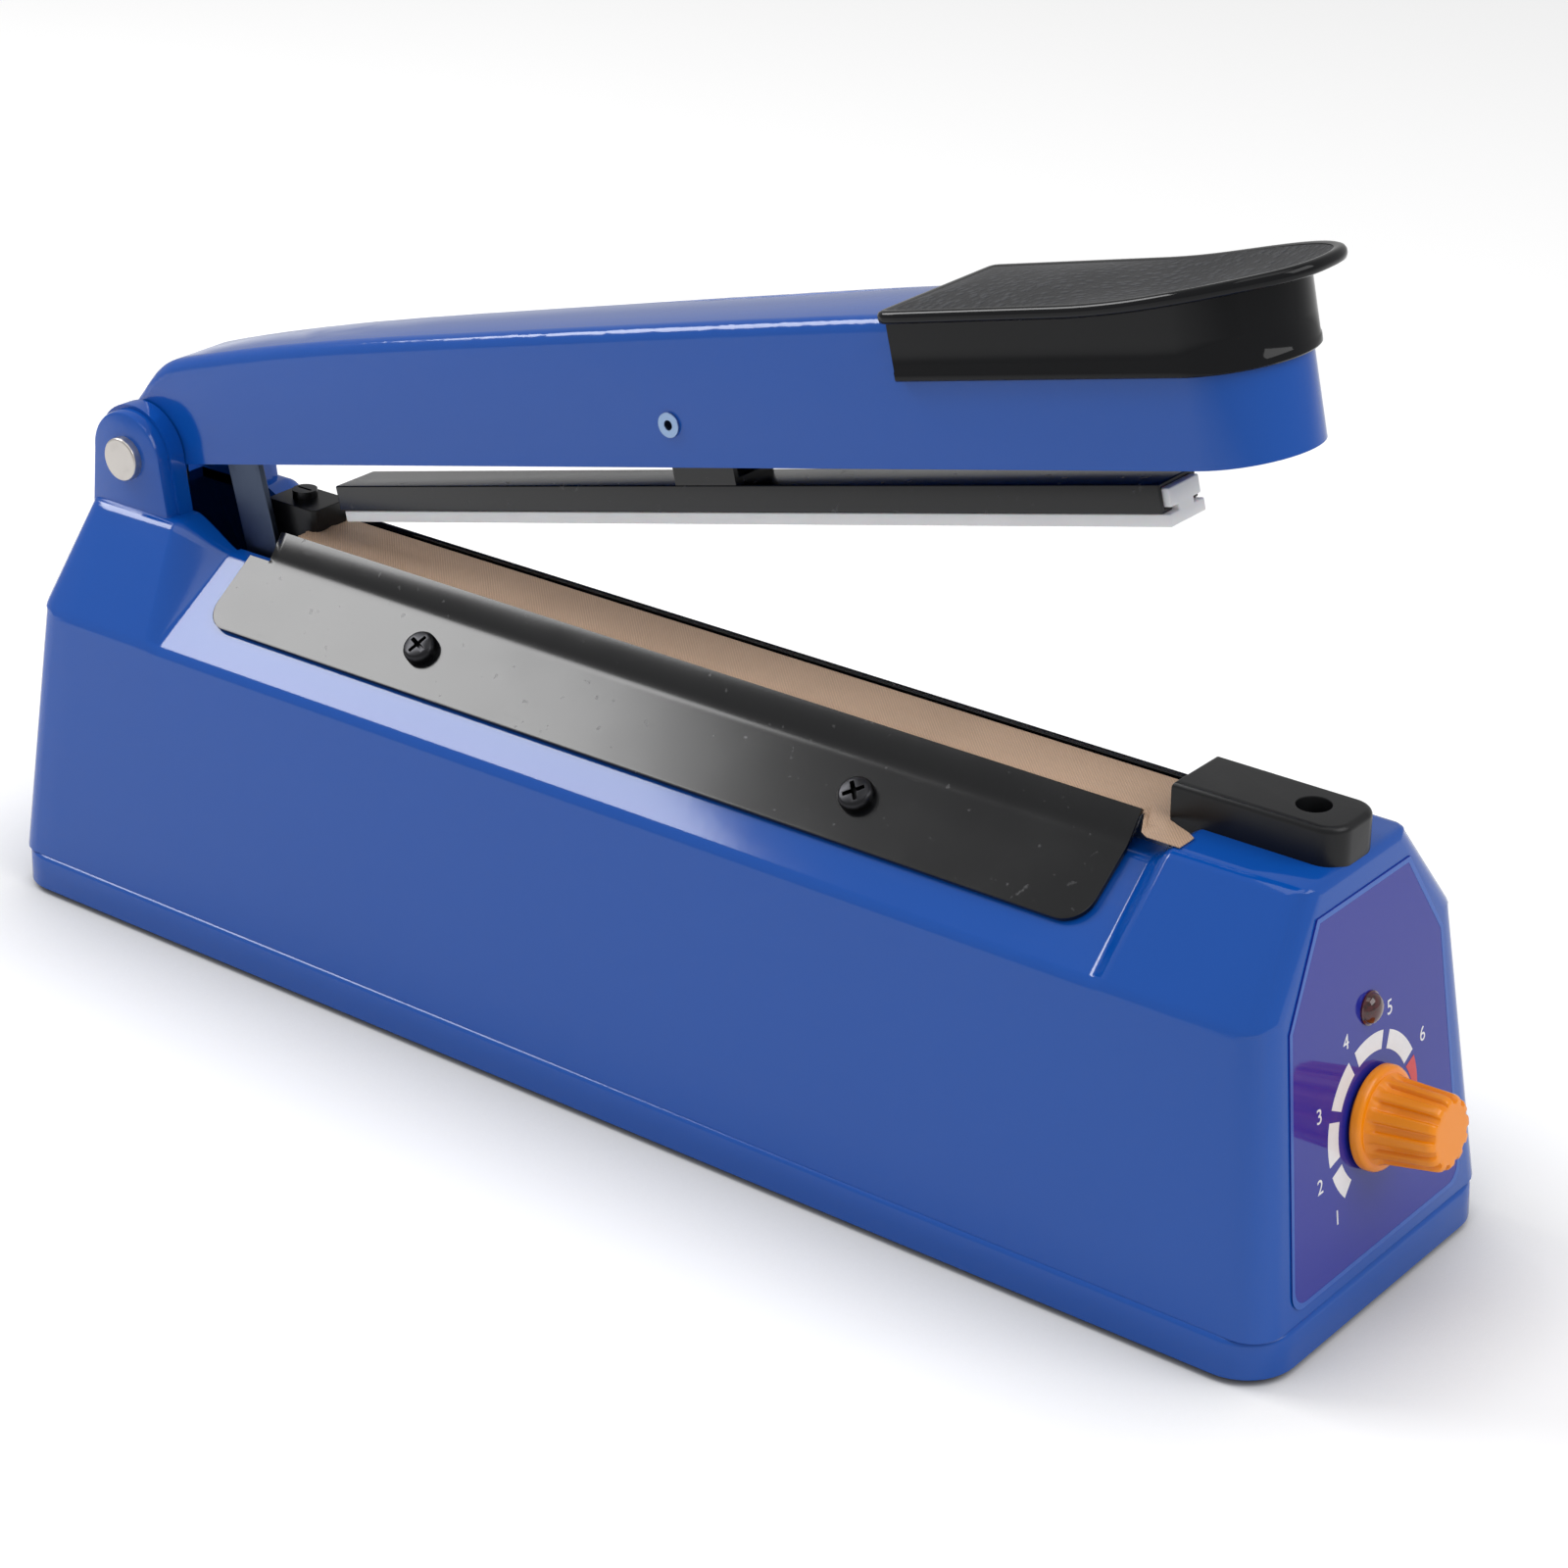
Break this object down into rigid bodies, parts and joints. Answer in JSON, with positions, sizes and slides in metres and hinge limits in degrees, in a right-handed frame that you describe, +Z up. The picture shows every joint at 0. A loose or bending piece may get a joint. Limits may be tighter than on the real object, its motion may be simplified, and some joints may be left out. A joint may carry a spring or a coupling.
{
  "type": "impulse heat sealer",
  "caption": "Hand-lever impulse heat sealer: moulded base with timer dial, sprung arm with rocking pressure bar, heating strip under non-stick cloth and clamp plates.",
  "frame": {"origin": "middle of the sealer's overall box, on the surface that its feet stand on", "axes": "+X along the base towards the timer knob, -Y towards the user who presses the arm, +Z up"},
  "size_m": [0.3541, 0.085, 0.2031],
  "materials": {
    "blue_housing": "glossy moulded plastic",
    "blue_tray": "glossy moulded plastic",
    "black_handle": "leather-grained pad with a glossy skirt",
    "black_plastic": "satin moulded plastic",
    "black_enamel": "glossy black enamel on sheet steel",
    "silicone": "pale translucent silicone",
    "ptfe_cloth": "coated glass cloth, fine weave",
    "bed_aluminium": "extruded",
    "resistance_ribbon": "rolled ribbon",
    "panel_print": "glossy printed panel",
    "orange_knob": "moulded, fluted",
    "lamp_red": "dark red lens",
    "black_rubber": "moulded rubber",
    "wire_cover": "insulated wire",
    "coil_tape": "taped winding",
    "core_steel": "varnished steel laminations",
    "board_green": "solder-masked board",
    "white_plastic": "moulded",
    "plunger_red": "moulded",
    "capacitor_sleeve": "sleeved can",
    "strut_steel": "bare strip steel",
    "dark_screw": "blackened steel",
    "rivet_steel": "plated rivet",
    "plated_steel": "nickel-plated steel"
  },
  "bodies": {
    "base": {"base_deck": "blue_housing", "base_housing": "blue_housing", "board_capacitor": "capacitor_sleeve", "board_relay": "black_plastic", "board_triac": "black_plastic", "bottom_cover": "blue_tray", "circuit_board": "board_green", "clamp_plate_far": "black_enamel", "clamp_plate_near": "black_enamel", "clamp_screw_far_1": "dark_screw", "clamp_screw_far_2": "dark_screw", "clamp_screw_near_1": "dark_screw", "clamp_screw_near_2": "dark_screw", "cord_inlet": "black_rubber", "cover_screw_1": "plated_steel", "cover_screw_2": "plated_steel", "cover_screw_3": "plated_steel", "cover_screw_4": "plated_steel", "end_cap": "black_plastic", "end_cap_screw": "dark_screw", "heating_element": "resistance_ribbon", "hinge_pin": "plated_steel", "indicator_lamp": "lamp_red", "inside_wire_1": "wire_cover", "inside_wire_2": "wire_cover", "inside_wire_3": "wire_cover", "inside_wire_4": "wire_cover", "insulation_strip": "ptfe_cloth", "microswitch": "black_plastic", "panel_label": "panel_print", "pin_clip": "plated_steel", "potentiometer": "plated_steel", "ptfe_cloth": "ptfe_cloth", "rear_block_screw": "dark_screw", "rear_element_block": "black_plastic", "return_spring": "plated_steel", "rubber_foot_1": "black_rubber", "rubber_foot_2": "black_rubber", "rubber_foot_3": "black_rubber", "rubber_foot_4": "black_rubber", "sealing_bed": "bed_aluminium", "switch_bracket": "plated_steel", "switch_screw_1": "plated_steel", "switch_screw_2": "plated_steel", "terminal_block": "white_plastic", "transformer_bracket": "plated_steel", "transformer_coil": "coil_tape", "transformer_core": "core_steel"},
    "arm": {"arm_shell": "blue_housing", "handle_cap": "black_handle", "bar_rivet": "rivet_steel", "switch_strut": "strut_steel", "strut_rivet": "plated_steel", "spring_post": "plated_steel"},
    "bar": {"pressure_bar": "black_enamel", "bar_hanger": "black_enamel", "silicone_strip": "silicone"},
    "knob": {"timer_knob": "orange_knob", "potentiometer_shaft": "plated_steel"},
    "plunger": {"switch_plunger": "plunger_red"}
  },
  "joints": [
    {"name": "arm_hinge", "type": "hinge", "parent": "base", "child": "arm", "pos_m": [-0.15439, 0, 0.1028], "axis": [0, -1, 0], "range_deg": [-10.83, 0], "stiffness_Nm_per_rad": 0.6, "springref_deg": 68.75, "deforming": ["return_spring"]},
    {"name": "bar_rock", "type": "hinge", "parent": "arm", "child": "bar", "pos_m": [0.00075, 0, 0.14424], "axis": [0, -1, 0], "range_deg": [-2.57, 0]},
    {"name": "knob_turn", "type": "hinge", "parent": "base", "child": "knob", "pos_m": [0.15991, 0, 0.0393], "axis": [0.9932, 0, 0.1167], "range_deg": [-115, 115]},
    {"name": "plunger_slide", "type": "slide", "parent": "base", "child": "plunger", "axis": [0, 0, 1], "range_m": [-0.0014, 0]}
  ],
  "couplings": [
    {"joint": "bar_rock", "follows": "arm_hinge", "ratio": 0.2372},
    {"joint": "plunger_slide", "follows": "arm_hinge", "m_per_rad": 0.0074}
  ]
}
